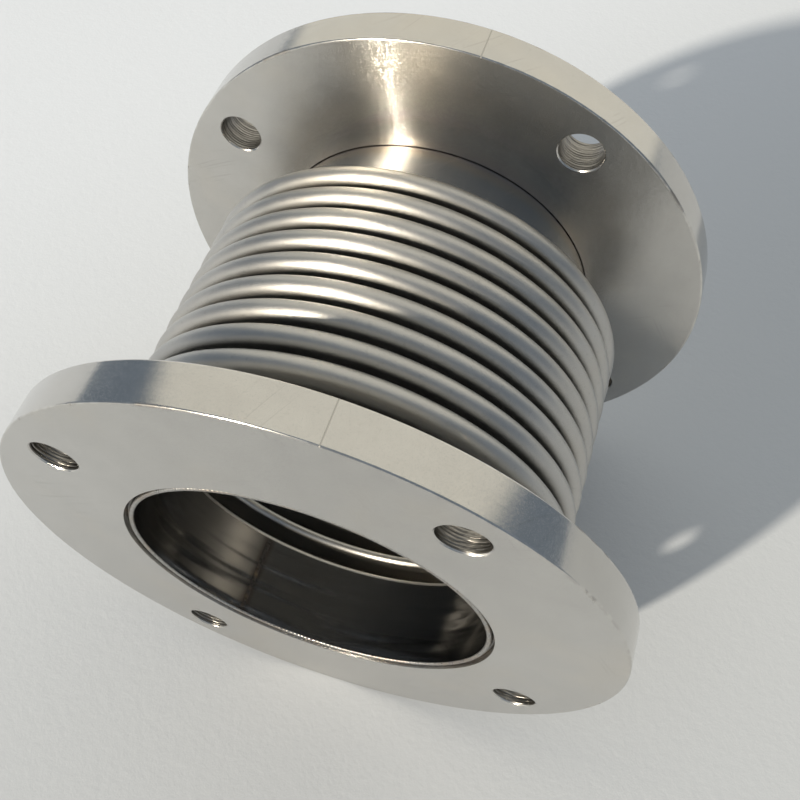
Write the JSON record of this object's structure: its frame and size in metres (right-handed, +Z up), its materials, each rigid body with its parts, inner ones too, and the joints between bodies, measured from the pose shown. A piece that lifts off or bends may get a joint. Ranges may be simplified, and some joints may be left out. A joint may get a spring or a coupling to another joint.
{
  "type": "metal bellows expansion joint",
  "caption": "Flanged stainless steel bellows expansion joint for pipe, with plain turned flanges, short necks and round formed convolutions that compress, tilt and offset.",
  "frame": {"origin": "on the pipe axis, in the sealing face of the near flange", "axes": "+Y along the pipe axis from the near flange to the far one, +Z up when the joint lies on the rims of its flanges"},
  "size_m": [0.15, 0.1117, 0.15],
  "materials": {
    "turned_flange": "fine turned",
    "neck_tube": "satin",
    "bellows": "satin rolled",
    "weld": "fused weld",
    "weld_seam": "fused weld"
  },
  "bodies": {
    "near_end": {"near_flange": "turned_flange", "near_neck_tube": "neck_tube", "near_end_ring": "neck_tube", "near_bellows_cuff": "bellows", "near_bellows_bend": "bellows", "near_face_weld": "weld", "near_edge_weld": "weld", "near_ring_weld": "weld", "near_cuff_seam": "weld_seam"},
    "crest_1": {"bellows_crest_1": "bellows"},
    "root_1": {"bellows_root_1": "bellows"},
    "crest_2": {"bellows_crest_2": "bellows"},
    "root_2": {"bellows_root_2": "bellows"},
    "crest_3": {"bellows_crest_3": "bellows"},
    "root_3": {"bellows_root_3": "bellows"},
    "crest_4": {"bellows_crest_4": "bellows"},
    "root_4": {"bellows_root_4": "bellows"},
    "crest_5": {"bellows_crest_5": "bellows"},
    "root_5": {"bellows_root_5": "bellows"},
    "crest_6": {"bellows_crest_6": "bellows"},
    "root_6": {"bellows_root_6": "bellows"},
    "crest_7": {"bellows_crest_7": "bellows"},
    "root_7": {"bellows_root_7": "bellows"},
    "crest_8": {"bellows_crest_8": "bellows"},
    "root_8": {"bellows_root_8": "bellows"},
    "crest_9": {"bellows_crest_9": "bellows"},
    "far_end": {"far_flange": "turned_flange", "far_neck_tube": "neck_tube", "far_end_ring": "neck_tube", "far_bellows_cuff": "bellows", "far_bellows_bend": "bellows", "far_face_weld": "weld", "far_edge_weld": "weld", "far_ring_weld": "weld", "far_cuff_seam": "weld_seam"}
  },
  "joints": [
    {"name": "axial_stroke", "type": "slide", "parent": "near_end", "child": "crest_1", "axis": [0, 1, 0], "range_m": [-0.00075, 0.00075], "stiffness_N_per_m": 360000},
    {"name": "near_pitch", "type": "hinge", "parent": "crest_1", "child": "root_1", "pos_m": [0, 0.02756, 0], "axis": [1, 0, 0], "range_deg": [-0.85, 0.85], "stiffness_Nm_per_rad": 516},
    {"name": "near_yaw", "type": "hinge", "parent": "root_1", "child": "crest_2", "pos_m": [0, 0.03094, 0], "axis": [0, 0, 1], "range_deg": [-0.85, 0.85], "stiffness_Nm_per_rad": 516},
    {"name": "axial_stroke_2", "type": "slide", "parent": "crest_2", "child": "root_2", "axis": [0, 1, 0], "range_m": [-0.00075, 0.00075], "stiffness_N_per_m": 360000},
    {"name": "near_pitch_2", "type": "hinge", "parent": "root_2", "child": "crest_3", "pos_m": [0, 0.03769, 0], "axis": [1, 0, 0], "range_deg": [-0.85, 0.85], "stiffness_Nm_per_rad": 516},
    {"name": "near_yaw_2", "type": "hinge", "parent": "crest_3", "child": "root_3", "pos_m": [0, 0.04106, 0], "axis": [0, 0, 1], "range_deg": [-0.85, 0.85], "stiffness_Nm_per_rad": 516},
    {"name": "axial_stroke_3", "type": "slide", "parent": "root_3", "child": "crest_4", "axis": [0, 1, 0], "range_m": [-0.00075, 0.00075], "stiffness_N_per_m": 360000},
    {"name": "near_pitch_3", "type": "hinge", "parent": "crest_4", "child": "root_4", "pos_m": [0, 0.04781, 0], "axis": [1, 0, 0], "range_deg": [-0.85, 0.85], "stiffness_Nm_per_rad": 516},
    {"name": "near_yaw_3", "type": "hinge", "parent": "root_4", "child": "crest_5", "pos_m": [0, 0.05119, 0], "axis": [0, 0, 1], "range_deg": [-0.85, 0.85], "stiffness_Nm_per_rad": 516},
    {"name": "axial_stroke_4", "type": "slide", "parent": "crest_5", "child": "root_5", "axis": [0, 1, 0], "range_m": [-0.00075, 0.00075], "stiffness_N_per_m": 360000},
    {"name": "far_pitch", "type": "hinge", "parent": "root_5", "child": "crest_6", "pos_m": [0, 0.05794, 0], "axis": [1, 0, 0], "range_deg": [-0.85, 0.85], "stiffness_Nm_per_rad": 516},
    {"name": "far_yaw", "type": "hinge", "parent": "crest_6", "child": "root_6", "pos_m": [0, 0.06131, 0], "axis": [0, 0, 1], "range_deg": [-0.85, 0.85], "stiffness_Nm_per_rad": 516},
    {"name": "axial_stroke_5", "type": "slide", "parent": "root_6", "child": "crest_7", "axis": [0, 1, 0], "range_m": [-0.00075, 0.00075], "stiffness_N_per_m": 360000},
    {"name": "far_pitch_2", "type": "hinge", "parent": "crest_7", "child": "root_7", "pos_m": [0, 0.06806, 0], "axis": [1, 0, 0], "range_deg": [-0.85, 0.85], "stiffness_Nm_per_rad": 516},
    {"name": "far_yaw_2", "type": "hinge", "parent": "root_7", "child": "crest_8", "pos_m": [0, 0.07144, 0], "axis": [0, 0, 1], "range_deg": [-0.85, 0.85], "stiffness_Nm_per_rad": 516},
    {"name": "axial_stroke_6", "type": "slide", "parent": "crest_8", "child": "root_8", "axis": [0, 1, 0], "range_m": [-0.00075, 0.00075], "stiffness_N_per_m": 360000},
    {"name": "far_pitch_3", "type": "hinge", "parent": "root_8", "child": "crest_9", "pos_m": [0, 0.07819, 0], "axis": [1, 0, 0], "range_deg": [-0.85, 0.85], "stiffness_Nm_per_rad": 516},
    {"name": "far_yaw_3", "type": "hinge", "parent": "crest_9", "child": "far_end", "pos_m": [0, 0.08156, 0], "axis": [0, 0, 1], "range_deg": [-0.85, 0.85], "stiffness_Nm_per_rad": 516}
  ],
  "couplings": [
    {"joint": "axial_stroke_2", "follows": "axial_stroke", "ratio": 1},
    {"joint": "near_pitch_2", "follows": "near_pitch", "ratio": 1},
    {"joint": "near_yaw_2", "follows": "near_yaw", "ratio": 1},
    {"joint": "axial_stroke_3", "follows": "axial_stroke", "ratio": 1},
    {"joint": "near_pitch_3", "follows": "near_pitch", "ratio": 1},
    {"joint": "near_yaw_3", "follows": "near_yaw", "ratio": 1},
    {"joint": "axial_stroke_4", "follows": "axial_stroke", "ratio": 1},
    {"joint": "axial_stroke_5", "follows": "axial_stroke", "ratio": 1},
    {"joint": "far_pitch_2", "follows": "far_pitch", "ratio": 1},
    {"joint": "far_yaw_2", "follows": "far_yaw", "ratio": 1},
    {"joint": "axial_stroke_6", "follows": "axial_stroke", "ratio": 1},
    {"joint": "far_pitch_3", "follows": "far_pitch", "ratio": 1},
    {"joint": "far_yaw_3", "follows": "far_yaw", "ratio": 1}
  ]
}
